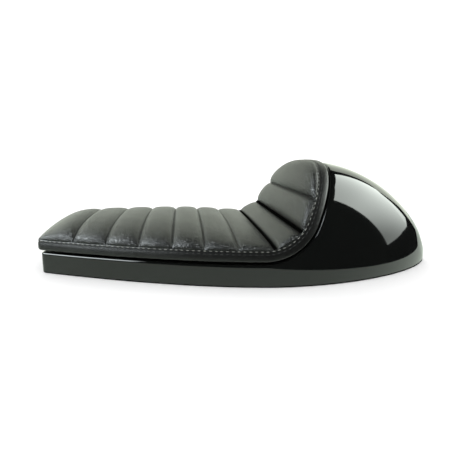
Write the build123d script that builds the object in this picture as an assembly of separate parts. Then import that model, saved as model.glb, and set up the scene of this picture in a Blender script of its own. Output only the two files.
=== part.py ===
from build123d import *
import math
import os
from functools import cache

# Single seat unit for a custom motorbike, in millimetres: a moulded cowl with a
# tail hump, and a tuck-and-roll pad that bolts down on to it and scoops up the hump.
# +X runs from the nose to the tail and +Z points up. The rim stands on Z = 0.

# Cowl, seen from above
COWL_LENGTH = 581.0
COWL_WIDTH = 240.0
NOSE_WIDTH = 148.0
WIDEST_FROM_NOSE = 302.0
NOSE_FLARE_X = 122.0
NOSE_FLARE_Y = 30.7
WIDEST_LEAD = 79.0
WIDEST_TRAIL = 131.0
TAIL_ROUNDING = 36.0
CORNER_RADIUS = 10.0

# Cowl, seen from the side
HUMP_HEIGHT = 149.6
HUMP_CREST_FROM_TAIL = 193.0
HUMP_CREST_LEAD = 55.0
TAIL_FOOT_X = 40.0
TAIL_FOOT_Z = 103.4
TAIL_TIP_HEIGHT = 3.0
TAIL_TIP_HALF_WIDTH = 10.0
DECK_HEIGHT = 30.5
SCOOP_FROM_TAIL = 236.5
SCOOP_ANGLE = 67.0
SCOOP_RADIUS = 77.0

# Cowl section
WALL = 3.0
SIDE_DRAFT = 1.9
ARCH_POWER = 2.65
LIP_RADIUS = 2.5
RIM_TRIM = 6.0
BOSS_DIAMETER = 26.0
BOSS_HEIGHT = 2.0

# Pad
PAD_OVERHANG = 3.0
PAD_NOSE_OVERHANG = 4.0
EDGE_GAP = 3.5
COVER_THICKNESS = 1.6
HEM_WIDTH = 24.0
BOARD_THICKNESS = 4.0
SEAM_HEIGHT = 18.5
SEAM_HEIGHT_BACK = 14.5
BAND_EDGE_RADIUS = 3.0
PAD_THICKNESS = 36.5
ROLL_BULGE = 4.8
ROLL_POWER = 3.6
PANEL_THICKNESS = 7.0
CROWN_POWER = 2.4
CROWN_FOOT = 8.0
NOSE_CLOSING = 60.0
TOP_CLOSING = 62.0

# Seams between the rolls, as distances along the seat line from the pad's nose
FIRST_SEAM = 56.5
FLAT_PITCHES = (45.6, 43.5, 42.9, 40.2, 41.9, 40.3)
SCOOP_PITCHES = (56.0, 47.0)

# Fasteners
STUD_DIAMETER = 8.0
STUD_END_DIAMETER = 6.0
STUD_SHOULDER_HEIGHT = 16.4
STUD_TIP_HEIGHT = 2.0
STUD_FLANGE_DIAMETER = 24.0
STUD_FLANGE_THICKNESS = 1.5
STUD_FROM_NOSE = 80.0
STUD_SPACING_X = 200.0
STUD_SPACING_Y = 100.0
WASHER_DIAMETER = 16.0
WASHER_THICKNESS = 1.6
NUT_ACROSS_FLATS = 13.0
NUT_HEIGHT = 6.5

# Clearances
PIECE_GAP = 0.2
STUD_HOLE_GAP = 0.3

# Fineness of the lofted forms
ARCH_STEPS = 14
NOSE_STATIONS = 5
TAIL_STATIONS = 9
CROWN_STEPS = 12
REACH = 400.0

OVERALL_LENGTH = COWL_LENGTH + PAD_NOSE_OVERHANG
TAIL_X = OVERALL_LENGTH/2
NOSE_X = TAIL_X - COWL_LENGTH
PAD_NOSE_X = NOSE_X - PAD_NOSE_OVERHANG
WIDEST_X = NOSE_X + WIDEST_FROM_NOSE
CREST_X = TAIL_X - HUMP_CREST_FROM_TAIL
SCOOP_X = TAIL_X - SCOOP_FROM_TAIL
SLOPE = math.radians(SCOOP_ANGLE)
DRAFT = math.tan(math.radians(SIDE_DRAFT))
TAIL_SHIFT = 0.67

NOSE_PLAN = (
    (NOSE_X, NOSE_WIDTH/2),
    (NOSE_X + NOSE_FLARE_X, NOSE_WIDTH/2 + NOSE_FLARE_Y),
    (WIDEST_X - WIDEST_LEAD, COWL_WIDTH/2),
    (WIDEST_X, COWL_WIDTH/2),
)
TAIL_PLAN = (
    (WIDEST_X, COWL_WIDTH/2),
    (WIDEST_X + WIDEST_TRAIL, COWL_WIDTH/2),
    (TAIL_X, TAIL_TIP_HALF_WIDTH + TAIL_ROUNDING),
    (TAIL_X, TAIL_TIP_HALF_WIDTH),
)
RIDGE = (
    (CREST_X, HUMP_HEIGHT),
    (CREST_X + HUMP_CREST_LEAD, HUMP_HEIGHT),
    (TAIL_X - TAIL_FOOT_X, TAIL_TIP_HEIGHT + TAIL_FOOT_Z),
    (TAIL_X, TAIL_TIP_HEIGHT),
)


def bezier(points, t):
    """Point of a cubic Bezier curve."""
    weights = ((1 - t)**3, 3*t*(1 - t)**2, 3*t**2*(1 - t), t**3)
    return tuple(sum(w*p[axis] for w, p in zip(weights, points)) for axis in (0, 1))


def rising_root(function, low, high):
    """Where a rising function crosses zero, by halving."""
    for _ in range(50):
        middle = (low + high)/2
        if function(middle) < 0:
            low = middle
        else:
            high = middle
    return (low + high)/2


def curve_at(points, x):
    """Second coordinate of a Bezier curve where its first coordinate is x."""
    t = rising_root(lambda t: bezier(points, t)[0] - x, 0.0, 1.0)
    return bezier(points, t)[1]


def half_width(x):
    """Half the cowl's width at its rim."""
    if x < NOSE_X:
        return NOSE_WIDTH/2 - (NOSE_X - x)*NOSE_FLARE_Y/NOSE_FLARE_X
    if x < WIDEST_X:
        return curve_at(NOSE_PLAN, x)
    return curve_at(TAIL_PLAN, x)


def ridge_height(x):
    """Height of the hump's ridge, carried on level in front of its crest."""
    return HUMP_HEIGHT if x < CREST_X else curve_at(RIDGE, x)


def arch_size(x, grow):
    """Half width and height of the body's arch at a station, grown by a margin."""
    along_tail = max(0.0, (x - CREST_X)/(TAIL_X - CREST_X))
    source = x - grow*TAIL_SHIFT*along_tail
    return half_width(source) + grow, ridge_height(source) + grow


def arch_half_width(x, z, grow):
    """Half width of the grown body at a station and a height."""
    half, top = arch_size(x, grow)
    share = max(0.0, 1 - (z/top)**ARCH_POWER)
    return (half - z*DRAFT)*share**(1/ARCH_POWER)


def signed_power(value, power):
    """Power of a number that keeps its sign."""
    return math.copysign(abs(value)**power, value)


def arch_face(x, grow):
    """Cross-section of the grown body at one station, with its sides carried on below the rim."""
    half, top = arch_size(x, grow)
    points = []
    for step in range(ARCH_STEPS + 1):
        angle = math.pi*step/ARCH_STEPS
        z = top*abs(math.sin(angle))**(2/ARCH_POWER)
        y = (half - z*DRAFT)*signed_power(math.cos(angle), 2/ARCH_POWER)
        points.append((x, y, z))
    points[0] = (x, half, 0)
    points[-1] = (x, -half, 0)
    curve = Spline(*points, tangents=((0, -DRAFT, 1), (0, -DRAFT, -1)))
    foot = half + RIM_TRIM*DRAFT
    skirt = Polyline(points[-1], (x, -foot, -RIM_TRIM), (x, foot, -RIM_TRIM), points[0])
    return make_face([curve, skirt])


def tail_end(grow):
    """Station where the grown body's ridge comes down to the tail tip's height."""
    if grow >= 0:
        return TAIL_X
    return rising_root(lambda x: TAIL_TIP_HEIGHT - arch_size(x, grow)[1], CREST_X, TAIL_X + grow*TAIL_SHIFT)


@cache
def body(grow, nose):
    """The cowl's outer form without its seat, grown by a margin, from a flat nose with round corners."""
    end = tail_end(grow)
    stations = [nose + (CREST_X - nose)*i/NOSE_STATIONS for i in range(NOSE_STATIONS)]
    stations += [CREST_X + (end - CREST_X)*math.sin(math.pi/2*i/TAIL_STATIONS) for i in range(TAIL_STATIONS + 1)]
    form = loft([arch_face(x, grow) for x in stations])
    nose_face = form.faces().sort_by(Axis.X)[0]
    corners = nose_face.edges().sort_by(Axis.Z)[1:]
    return fillet(corners, max(CORNER_RADIUS + grow, 1.0))


def seat_corner(flat, back):
    """Where the level line and the backrest line meet, each moved towards the rider by its own offset."""
    x = SCOOP_X + (flat*math.cos(SLOPE) - back)/math.sin(SLOPE)
    return x, DECK_HEIGHT + flat


@cache
def below_seat(flat, back):
    """Everything under the seat line, with the deck and the backrest each offset towards the rider."""
    x, z = seat_corner(flat, back)
    setback = (SCOOP_RADIUS - (flat + back)/2)*math.tan(SLOPE/2)
    start = (x - setback, 0, z)
    finish = (x + setback*math.cos(SLOPE), 0, z + setback*math.sin(SLOPE))
    top = (x + REACH*math.cos(SLOPE), 0, z + REACH*math.sin(SLOPE))
    outline = [
        Line((-REACH, 0, z), start),
        TangentArc(start, finish, tangent=(1, 0, 0)),
        Line(finish, top),
        Polyline(top, (REACH*2, 0, top[2]), (REACH*2, 0, -REACH), (-REACH, 0, -REACH), (-REACH, 0, z)),
    ]
    return extrude(make_face(outline), amount=REACH, dir=(0, 1, 0), both=True)


def seat_station(s):
    """Point and slope of the seat line at a distance from the pad's nose."""
    corner = seat_corner(0, 0)[0]
    setback = SCOOP_RADIUS*math.tan(SLOPE/2)
    flat = corner - setback - PAD_NOSE_X
    angle = min(max((s - flat)/SCOOP_RADIUS, 0.0), SLOPE)
    past = max(s - flat - SCOOP_RADIUS*SLOPE, 0.0)
    x = PAD_NOSE_X + min(s, flat) + SCOOP_RADIUS*math.sin(angle) + past*math.cos(SLOPE)
    z = DECK_HEIGHT + SCOOP_RADIUS*(1 - math.cos(angle)) + past*math.sin(SLOPE)
    return x, z, angle


def seam_height(s):
    """Height of the edge seam above the seat line, which falls through the scoop."""
    share = seat_station(s)[2]/SLOPE
    return SEAM_HEIGHT + (SEAM_HEIGHT_BACK - SEAM_HEIGHT)*share


def seat_point(s, n):
    """Station and height of a point above the seat line."""
    x, z, angle = seat_station(s)
    return x - n*math.sin(angle), z + n*math.cos(angle)


def pad_length():
    """Distance along the seat line where the edge seam reaches the top of the pad."""
    top = HUMP_HEIGHT + PAD_OVERHANG
    return rising_root(lambda s: seat_point(s, seam_height(s))[1] - top, 0.0, REACH*2)


PAD_LENGTH = pad_length()
SEAMS = [FIRST_SEAM]
for pitch in FLAT_PITCHES + SCOOP_PITCHES:
    SEAMS.append(SEAMS[-1] + pitch)


def closing(s):
    """Share of the full crown, which closes to nothing at the pad's nose and at its top."""
    nose = 1 - min(max(s/NOSE_CLOSING, 0.0), 1.0)
    top = 1 - min(max((PAD_LENGTH - s)/TOP_CLOSING, 0.0), 1.0)
    return math.sqrt(max(0.0, 1 - nose**2.6))*math.sqrt(max(0.0, 1 - top**2.6))


def crown_height(s, drop):
    """Height of the pad's centre line above the seat line, without the rolls."""
    edge = seam_height(s)
    return edge + max((PAD_THICKNESS - edge)*closing(s) - drop, 1.0)


def crown_face(s, height, inset):
    """Crowned cross-section of the pad, square to the seat line."""
    x, z, angle = seat_station(s)
    edge_x, edge_z = seat_point(s, seam_height(s))
    half = max(arch_half_width(edge_x, edge_z, PAD_OVERHANG), COWL_WIDTH/6) + PAD_OVERHANG - inset
    points = []
    for step in range(CROWN_STEPS + 1):
        turn = math.pi*step/CROWN_STEPS
        y = half*signed_power(math.cos(turn), 2/CROWN_POWER)
        n = CROWN_FOOT + (height - CROWN_FOOT)*abs(math.sin(turn))**(2/CROWN_POWER)
        points.append((x - n*math.sin(angle), y, z + n*math.cos(angle)))
    return make_face([Spline(*points), Line(points[-1], points[0])])


def smooth_crown(drop, inset):
    """The pad's crowned form without its rolls, lowered and narrowed."""
    nose = [NOSE_CLOSING*share for share in (0.0, 0.13, 0.37, 1.0)]
    top = [PAD_LENGTH - TOP_CLOSING*share for share in (0.7, 0.28, 0.08)]
    stations = nose + SEAMS[2:-1] + top
    return loft([crown_face(s, crown_height(s, drop), inset) for s in stations])


def roll(start, end, between):
    """One padded roll between two seams."""
    faces = []
    for share in (0.0,) + between + (1.0,):
        s = start + (end - start)*share
        height = crown_height(s, 0) + ROLL_BULGE*(1 - abs(2*share - 1)**ROLL_POWER)*closing(s)
        faces.append(crown_face(s, height, 0))
    return loft(faces)


def rolled_crown():
    """The pad's crowned form with its ten rolls."""
    form = roll(0, SEAMS[0], (0.1, 0.3, 0.6, 0.85))
    for start, end in zip(SEAMS, SEAMS[1:]):
        form += roll(start, end, (0.2, 0.5, 0.8))
    return form + roll(SEAMS[-1], PAD_LENGTH, (0.2, 0.5, 0.8, 0.95))


def stud_places():
    """Centres of the four pad studs."""
    x = NOSE_X + STUD_FROM_NOSE
    return [Location((x + i*STUD_SPACING_X, j*STUD_SPACING_Y/2, 0)) for i in (0, 1) for j in (-1, 1)]


def at_studs(diameter, low, high):
    """Upright cylinders at the studs, between two heights."""
    shape = Cylinder(diameter/2, high - low, align=(Align.CENTER, Align.CENTER, Align.MIN))
    return [place*Pos(0, 0, low)*shape for place in stud_places()]


HEM_HIGH = EDGE_GAP + COVER_THICKNESS
BOARD_HIGH = HEM_HIGH + BOARD_THICKNESS
FLANGE_HIGH = DECK_HEIGHT + BOARD_HIGH - PIECE_GAP
FLANGE_LOW = FLANGE_HIGH - STUD_FLANGE_THICKNESS
STUD_HOLE = STUD_DIAMETER + 2*STUD_HOLE_GAP
BOSS_LOW = DECK_HEIGHT - WALL - BOSS_HEIGHT


def seat_rim(form, side):
    """Edges round the faces that follow the seat line, on the rider's side (+1) or the far side (-1)."""
    edges = []
    for face in form.faces():
        if face.geom_type != GeomType.BSPLINE and face.normal_at().Z*side > math.cos(SLOPE)/2:
            edges += face.edges()
    return [edge for edge in edges if sum(edge.is_same(other) for other in edges) == 1]


def cowl_shell():
    """The moulded cowl: skirt, deck, scooped front wall and hump, open underneath."""
    outer = body(0, NOSE_X) & below_seat(0, 0)
    outer = fillet(seat_rim(outer, 1), LIP_RADIUS)
    inner = body(-WALL, NOSE_X + WALL) & below_seat(-WALL, -WALL)
    shell = outer - inner
    for boss in at_studs(BOSS_DIAMETER, BOSS_LOW, DECK_HEIGHT - WALL/2):
        shell += boss
    for hole in at_studs(STUD_HOLE, 0, DECK_HEIGHT + WALL):
        shell -= hole
    return split(shell, bisect_by=Plane.XY, keep=Keep.TOP)


def pad_form(inset):
    """Outline of the pad as a tall form, narrowed by an inset."""
    return body(PAD_OVERHANG - inset, PAD_NOSE_X + inset)


def cover_band():
    """Side band of the cover, from the edge seam down and round under the board's rim."""
    band = pad_form(0) & (below_seat(SEAM_HEIGHT, SEAM_HEIGHT_BACK) - below_seat(EDGE_GAP, EDGE_GAP))
    band = fillet(seat_rim(band, -1), BAND_EDGE_RADIUS)
    band -= pad_form(COVER_THICKNESS) - below_seat(HEM_HIGH, HEM_HIGH)
    return band - pad_form(HEM_WIDTH)


def pad_board():
    """Stiff board that carries the pad: a plateau on the seat face and a raised rim over the cover's hem."""
    board = pad_form(COVER_THICKNESS + PIECE_GAP)
    board &= below_seat(BOARD_HIGH, BOARD_HIGH) - below_seat(PIECE_GAP, PIECE_GAP)
    board -= below_seat(HEM_HIGH, HEM_HIGH) - pad_form(HEM_WIDTH + PIECE_GAP)
    for hole in at_studs(STUD_HOLE, DECK_HEIGHT, FLANGE_HIGH):
        board -= hole
    for recess in at_studs(STUD_FLANGE_DIAMETER + 2*PIECE_GAP, FLANGE_LOW, FLANGE_HIGH + WALL):
        board -= recess
    return board


def foam_core():
    """Crowned foam on the board."""
    foam = smooth_crown(PANEL_THICKNESS + PIECE_GAP, PANEL_THICKNESS + PIECE_GAP)
    foam &= pad_form(COVER_THICKNESS + PIECE_GAP)
    return foam - below_seat(BOARD_HIGH, BOARD_HIGH)


def cover_top():
    """Tuck-and-roll top panel, padded on its own backing and hollow over the foam."""
    panel = rolled_crown() & pad_form(0)
    panel -= below_seat(SEAM_HEIGHT + PIECE_GAP, SEAM_HEIGHT_BACK + PIECE_GAP)
    return panel - smooth_crown(PANEL_THICKNESS, PANEL_THICKNESS)


def pad_studs():
    """Flanged studs that hang from the board through the deck, stepped down to a free end below the nuts."""
    flanges = at_studs(STUD_FLANGE_DIAMETER, FLANGE_LOW, FLANGE_HIGH)
    shanks = at_studs(STUD_DIAMETER, STUD_SHOULDER_HEIGHT, FLANGE_HIGH)
    ends = at_studs(STUD_END_DIAMETER, STUD_TIP_HEIGHT, FLANGE_HIGH)
    step = (STUD_DIAMETER - STUD_END_DIAMETER)/2
    taper = Cone(STUD_END_DIAMETER/2, STUD_DIAMETER/2, step, align=(Align.CENTER, Align.CENTER, Align.MIN))
    tapers = [place*Pos(0, 0, STUD_SHOULDER_HEIGHT - step)*taper for place in stud_places()]
    return Compound([sum(pieces[1:], pieces[0]).solid() for pieces in zip(flanges, shanks, tapers, ends)])


def stud_washers():
    """Plain washers under the cowl's bosses."""
    discs = at_studs(WASHER_DIAMETER, BOSS_LOW - WASHER_THICKNESS, BOSS_LOW)
    holes = at_studs(STUD_HOLE, BOSS_LOW - WASHER_THICKNESS, BOSS_LOW)
    return Compound([(disc - hole).solid() for disc, hole in zip(discs, holes)])


def stud_nuts():
    """Hexagon nuts that clamp the pad to the cowl."""
    high = BOSS_LOW - WASHER_THICKNESS
    hexagon = RegularPolygon(NUT_ACROSS_FLATS/2, 6, major_radius=False)
    nut = extrude(hexagon, amount=NUT_HEIGHT) - Cylinder(STUD_DIAMETER/2 + PIECE_GAP/2, NUT_HEIGHT*3)
    return Compound([(place*Pos(0, 0, high - NUT_HEIGHT)*nut).solid() for place in stud_places()])


PIECES = {
    "cowl_shell": cowl_shell,
    "pad_board": pad_board,
    "foam_core": foam_core,
    "cover_top": cover_top,
    "cover_band": cover_band,
    "pad_studs": pad_studs,
    "stud_washers": stud_washers,
    "stud_nuts": stud_nuts,
}

os.makedirs("parts", exist_ok=True)
for name, make in PIECES.items():
    export_step(make(), f"parts/{name}.step")
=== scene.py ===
"""Looks of a motorbike single seat: a gloss moulded cowl under a tuck-and-roll leather pad.

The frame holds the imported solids. Meshes are shaped in millimetres, in the frame's own axes, and are
brought to metres when they are finished.
"""

import logging
import math
from dataclasses import dataclass, field
from enum import Enum
from functools import lru_cache
from typing import Any, Callable, Optional

import bmesh
import bpy
from mathutils import Matrix, Vector


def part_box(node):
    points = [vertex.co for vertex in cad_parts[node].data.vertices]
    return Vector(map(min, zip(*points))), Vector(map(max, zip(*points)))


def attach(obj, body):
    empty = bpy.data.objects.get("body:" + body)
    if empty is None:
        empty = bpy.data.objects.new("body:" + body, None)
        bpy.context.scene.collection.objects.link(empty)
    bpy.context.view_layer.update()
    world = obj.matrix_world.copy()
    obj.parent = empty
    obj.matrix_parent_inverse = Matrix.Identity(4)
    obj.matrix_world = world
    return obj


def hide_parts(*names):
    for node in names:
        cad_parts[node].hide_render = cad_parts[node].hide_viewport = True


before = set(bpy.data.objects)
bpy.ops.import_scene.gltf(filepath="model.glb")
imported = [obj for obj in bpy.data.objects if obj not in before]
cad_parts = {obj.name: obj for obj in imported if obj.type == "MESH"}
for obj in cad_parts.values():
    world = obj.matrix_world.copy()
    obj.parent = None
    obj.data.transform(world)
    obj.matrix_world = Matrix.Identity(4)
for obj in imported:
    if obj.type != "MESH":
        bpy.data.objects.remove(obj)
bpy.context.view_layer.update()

LOG = logging.getLogger("seat")
MM = 0.001
BODY = "root"
MERGE = 0.002
HALVINGS = 36
CLOTH = {"vertex_group_mass": "held", "vertex_group_shrink": "gathered", "quality": 6, "mass": 0.15,
         "tension_stiffness": 40.0, "compression_stiffness": 40.0, "shear_stiffness": 20.0,
         "bending_stiffness": 0.4, "air_damping": 2.0, "use_pressure": True, "shrink_min": 0.0}

Colour = tuple[float, float, float]
Corner = tuple[float, float, float]
Lift = Callable[[float], float]

DAYLIGHT: Colour = (0.90, 0.98, 1.0)
PALE_WALL: Colour = (0.93, 1.0, 0.86)


class Slot(Enum):
    """Material slots of the record."""

    COWL = "cowl_gloss"
    LEATHER = "cover_leather"
    FOAM = "seat_foam"
    ZINC = "zinc_steel"


def clamp(value: float, low: float, high: float) -> float:
    """Value held between two limits."""
    return min(max(value, low), high)


def mix(first: float, second: float, share: float) -> float:
    """Value a share of the way from the first to the second."""
    return first + (second - first)*share


def ease(value: float, low: float, high: float) -> float:
    """Soft step from 0 to 1 between two limits."""
    share = clamp((value - low)/(high - low), 0.0, 1.0)
    return share*share*(3 - 2*share)


def signed_power(value: float, power: float) -> float:
    """Power of a number that keeps its sign."""
    return math.copysign(abs(value)**power, value)


def halve(below: Callable[[float], bool], low: float, high: float) -> float:
    """Place between two limits where a test stops holding, found by halving."""
    for _ in range(HALVINGS):
        middle = (low + high)/2
        if below(middle):
            low = middle
        else:
            high = middle
    return (low + high)/2


@dataclass(frozen=True)
class Bezier:
    """Cubic curve whose first coordinate rises from its start to its end."""

    start: tuple[float, float]
    lead: tuple[float, float]
    trail: tuple[float, float]
    end: tuple[float, float]

    def point(self, t: float) -> tuple[float, float]:
        """Point of the curve at a parameter from 0 to 1."""
        r = 1 - t
        a, b, c, d = r*r*r, 3*t*r*r, 3*t*t*r, t*t*t
        first = a*self.start[0] + b*self.lead[0] + c*self.trail[0] + d*self.end[0]
        second = a*self.start[1] + b*self.lead[1] + c*self.trail[1] + d*self.end[1]
        return first, second

    def height(self, x: float) -> float:
        """Second coordinate where the first one is x."""
        return self.point(halve(lambda t: self.point(t)[0] < x, 0.0, 1.0))[1]


@dataclass(frozen=True)
class Outline:
    """An outline that follows the seat line: how far it stands out from the cowl's, and where its nose is."""

    grow: float
    nose_x: float


@dataclass(frozen=True)
class SeatForm:
    """The form that the cowl and the pad share, in millimetres."""

    nose_x: float
    tail_x: float
    pad_nose_x: float
    cowl_half: float
    nose_half: float = 74.0
    widest_from_nose: float = 302.0
    nose_flare: tuple[float, float] = (122.0, 30.7)
    widest_lead: float = 79.0
    widest_trail: float = 138.0
    tail_rounding: float = 38.7
    tail_half: float = 6.6
    tail_tip_height: float = 3.0
    tail_shift: float = 0.67
    corner_radius: float = 6.5
    hump_height: float = 150.4
    crest_from_tail: float = 197.0
    crest_lead: float = 85.8
    tail_foot: tuple[float, float] = (15.8, 64.5)
    deck_height: float = 30.5
    scoop_from_tail: float = 236.8
    scoop_angle: float = 67.0
    scoop_radius: float = 77.0
    draft: float = math.tan(math.radians(1.9))
    arch_power: float = 2.65
    pad_overhang: float = 3.0
    nose_end: float = 0.10
    corner_end: float = 0.14
    side_end: float = 0.78
    arch_from: float = 0.66

    @classmethod
    def from_frame(cls) -> "SeatForm":
        """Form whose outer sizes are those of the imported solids, with a tail that is a little fuller."""
        fuller = 4.0
        cowl_low, cowl_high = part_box("cowl_shell")
        band_low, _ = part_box("cover_band")
        return cls(cowl_low.x/MM, cowl_high.x/MM + fuller, band_low.x/MM, cowl_high.y/MM)

    @property
    def widest_x(self) -> float:
        """Station where the cowl is widest."""
        return self.nose_x + self.widest_from_nose

    @property
    def crest_x(self) -> float:
        """Station where the hump starts to fall towards the tail."""
        return self.tail_x - self.crest_from_tail

    @property
    def slope(self) -> float:
        """Angle of the backrest."""
        return math.radians(self.scoop_angle)

    @property
    def level_run(self) -> float:
        """Length of the level part of the seat line, from the pad's nose."""
        scoop_x = self.tail_x - self.scoop_from_tail
        return scoop_x - self.scoop_radius*math.tan(self.slope/2) - self.pad_nose_x

    @property
    def tail_plan(self) -> Bezier:
        """Half of the rim, from its widest place to the tail."""
        x, half = self.widest_x, self.cowl_half
        trail = (self.tail_x, self.tail_half + self.tail_rounding)
        return Bezier((x, half), (x + self.widest_trail, half), trail, (self.tail_x, self.tail_half))

    @property
    def nose_plan(self) -> Bezier:
        """Half of the rim, from the nose to its widest place."""
        x, half = self.widest_x, self.cowl_half
        lead = (self.nose_x + self.nose_flare[0], self.nose_half + self.nose_flare[1])
        return Bezier((self.nose_x, self.nose_half), lead, (x - self.widest_lead, half), (x, half))

    @lru_cache(maxsize=None)
    def half_width(self, x: float) -> float:
        """Half the cowl's width at its rim."""
        if x < self.nose_x:
            return self.nose_half - (self.nose_x - x)*self.nose_flare[1]/self.nose_flare[0]
        plan = self.nose_plan if x < self.widest_x else self.tail_plan
        return plan.height(x)

    @lru_cache(maxsize=None)
    def ridge(self, x: float) -> float:
        """Height of the hump's ridge, carried on level in front of its crest."""
        if x < self.crest_x:
            return self.hump_height
        start = (self.crest_x, self.hump_height)
        lead = (self.crest_x + self.crest_lead, self.hump_height)
        trail = (self.tail_x - self.tail_foot[0], self.tail_tip_height + self.tail_foot[1])
        return Bezier(start, lead, trail, (self.tail_x, self.tail_tip_height)).height(x)

    def arch_size(self, x: float, grow: float) -> tuple[float, float]:
        """Half width and height of the arch at a station, grown by a margin."""
        along_tail = max(0.0, (x - self.crest_x)/(self.tail_x - self.crest_x))
        source = x - grow*self.tail_shift*along_tail
        return self.half_width(source) + grow, self.ridge(source) + grow

    def arch_half(self, x: float, z: float, grow: float) -> float:
        """Half width of the grown arch at a station and a height."""
        half, top = self.arch_size(x, grow)
        share = max(0.0, 1 - (z/top)**self.arch_power)
        return (half - z*self.draft)*share**(1/self.arch_power)

    def arch_point(self, x: float, angle: float) -> Vector:
        """Point of the cowl's outer arch at a station, from 0 at the rim to a right angle at the ridge."""
        half, top = self.arch_size(x, 0.0)
        z = top*math.sin(angle)**(2/self.arch_power)
        return Vector((x, (half - z*self.draft)*abs(math.cos(angle))**(2/self.arch_power), z))

    def seat_line(self, s: float) -> tuple[float, float, float]:
        """Station, height and slope of the seat line at a distance from the pad's nose."""
        flat = self.level_run
        angle = clamp((s - flat)/self.scoop_radius, 0.0, self.slope)
        past = max(s - flat - self.scoop_radius*self.slope, 0.0)
        x = self.pad_nose_x + min(s, flat) + self.scoop_radius*math.sin(angle) + past*math.cos(self.slope)
        z = self.deck_height + self.scoop_radius*(1 - math.cos(angle)) + past*math.sin(self.slope)
        return x, z, angle

    def seat_point(self, s: float, lift: float) -> tuple[float, float]:
        """Station and height of a point above the seat line."""
        x, z, angle = self.seat_line(s)
        return x - lift*math.sin(angle), z + lift*math.cos(angle)

    def at(self, s: float, y: float, lift: float) -> Vector:
        """Point above the seat line, off to one side."""
        x, z = self.seat_point(s, lift)
        return Vector((x, y, z))

    def backrest_distance(self, z: float, lift: float) -> float:
        """Distance along the seat line where the straight backrest, moved out, is at a height."""
        start = self.level_run + self.scoop_radius*self.slope
        foot = self.seat_point(start, lift)[1]
        return start + (z - foot)/math.sin(self.slope)

    def corner(self, lift: float, outline: Outline) -> tuple[float, float, float]:
        """Round corner of an outline beside its nose.

        Args:
            lift: Height above the deck.
            outline: The outline.

        Returns:
            Half the flat nose's width, the corner's radius and the side's splay.
        """
        half = self.arch_half(outline.nose_x, self.deck_height + lift, outline.grow)
        radius = max(self.corner_radius + outline.grow, 1.0)
        splay = math.atan2(self.nose_flare[1], self.nose_flare[0])
        return half - radius*(1 - math.sin(splay))/math.cos(splay), radius, splay

    @lru_cache(maxsize=None)
    def edge(self, share: float, lift: Lift, outline: Outline) -> tuple[float, float, float]:
        """Half of an outline, from the middle of its nose round the side to the middle of its top.

        Args:
            share: From 0 at the nose to 1 at the top.
            lift: Height above the seat line, by distance along it.
            outline: The outline to follow.

        Returns:
            Distance along the seat line, place across and height above the seat line.
        """
        start = outline.nose_x - self.pad_nose_x
        flat_half, radius, splay = self.corner(lift(start), outline)
        if share <= self.nose_end:
            return start, flat_half*share/self.nose_end, lift(start)
        if share <= self.corner_end:
            turn = (math.pi/2 - splay)*(share - self.nose_end)/(self.corner_end - self.nose_end)
            return start + radius*(1 - math.cos(turn)), flat_half + radius*math.sin(turn), lift(start)
        rise = lift(self.level_run*2)
        top = self.hump_height + outline.grow
        if share <= self.side_end:
            side_start = start + radius*(1 - math.sin(splay))
            side_stop = self.backrest_distance(self.arch_from*top, rise)
            s = mix(side_start, side_stop, (share - self.corner_end)/(self.side_end - self.corner_end))
            x, z = self.seat_point(s, lift(s))
            return s, self.arch_half(x, z, outline.grow), lift(s)
        low = math.asin(self.arch_from**(self.arch_power/2))
        angle = mix(low, math.pi/2, (share - self.side_end)/(1 - self.side_end))
        half, s, z = 0.0, 0.0, 0.0
        for _ in range(3):
            z = top*math.sin(angle)**(2/self.arch_power)
            s = self.backrest_distance(z, rise)
            half, top = self.arch_size(self.seat_point(s, rise)[0], outline.grow)
        return s, (half - z*self.draft)*abs(math.cos(angle))**(2/self.arch_power), rise

    def edge_point(self, turn: float, lift: Lift, outline: Outline) -> Vector:
        """Point of a whole outline, from 0 at the nose round one side to 0.5 at the top and back to 1."""
        s, y, rise = self.edge(1 - abs(2*turn - 1), lift, outline)
        return self.at(s, y if turn < 0.5 else -y, rise)


def mapped_grid(columns: int, rows: int, place: Callable[[int, int], Vector]) -> bmesh.types.BMesh:
    """Grid of quads whose points are moved to where a function puts them.

    Args:
        columns: Faces across the grid.
        rows: Faces up the grid.
        place: Point for a column and a row, in millimetres.

    Returns:
        The new mesh, with points that coincide merged.
    """
    mesh = bmesh.new()
    bmesh.ops.create_grid(mesh, x_segments=columns, y_segments=rows, size=0.5)
    for vert in mesh.verts:
        vert.co = place(round((vert.co.x + 0.5)*columns), round((vert.co.y + 0.5)*rows))
    bmesh.ops.remove_doubles(mesh, verts=mesh.verts[:], dist=MERGE)
    bmesh.ops.recalc_face_normals(mesh, faces=mesh.faces[:])
    return mesh


def mark_sharp(mesh: bmesh.types.BMesh, limit: float) -> None:
    """Shades faces smooth, apart from edges that turn by more than a limit in degrees."""
    for face in mesh.faces:
        face.smooth = True
    for edge in mesh.edges:
        edge.smooth = edge.calc_face_angle(0.0) < math.radians(limit)


def new_piece(name: str, mesh: bmesh.types.BMesh) -> bpy.types.Object:
    """Object in metres from a mesh in millimetres, which is freed.

    Args:
        name: The piece's name.
        mesh: Its finished mesh.

    Returns:
        The new object at the origin.
    """
    bmesh.ops.scale(mesh, vec=(MM, MM, MM), verts=mesh.verts[:])
    data = bpy.data.meshes.new(name)
    mesh.to_mesh(data)
    mesh.free()
    piece = bpy.data.objects.new(name, data)
    bpy.context.scene.collection.objects.link(piece)
    return piece


def bake_modifiers(piece: bpy.types.Object) -> None:
    """Replaces a piece's mesh by what its modifiers make of it, and removes them."""
    graph = bpy.context.evaluated_depsgraph_get()
    graph.update()
    piece.data = bpy.data.meshes.new_from_object(piece.evaluated_get(graph))
    piece.modifiers.clear()


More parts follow.
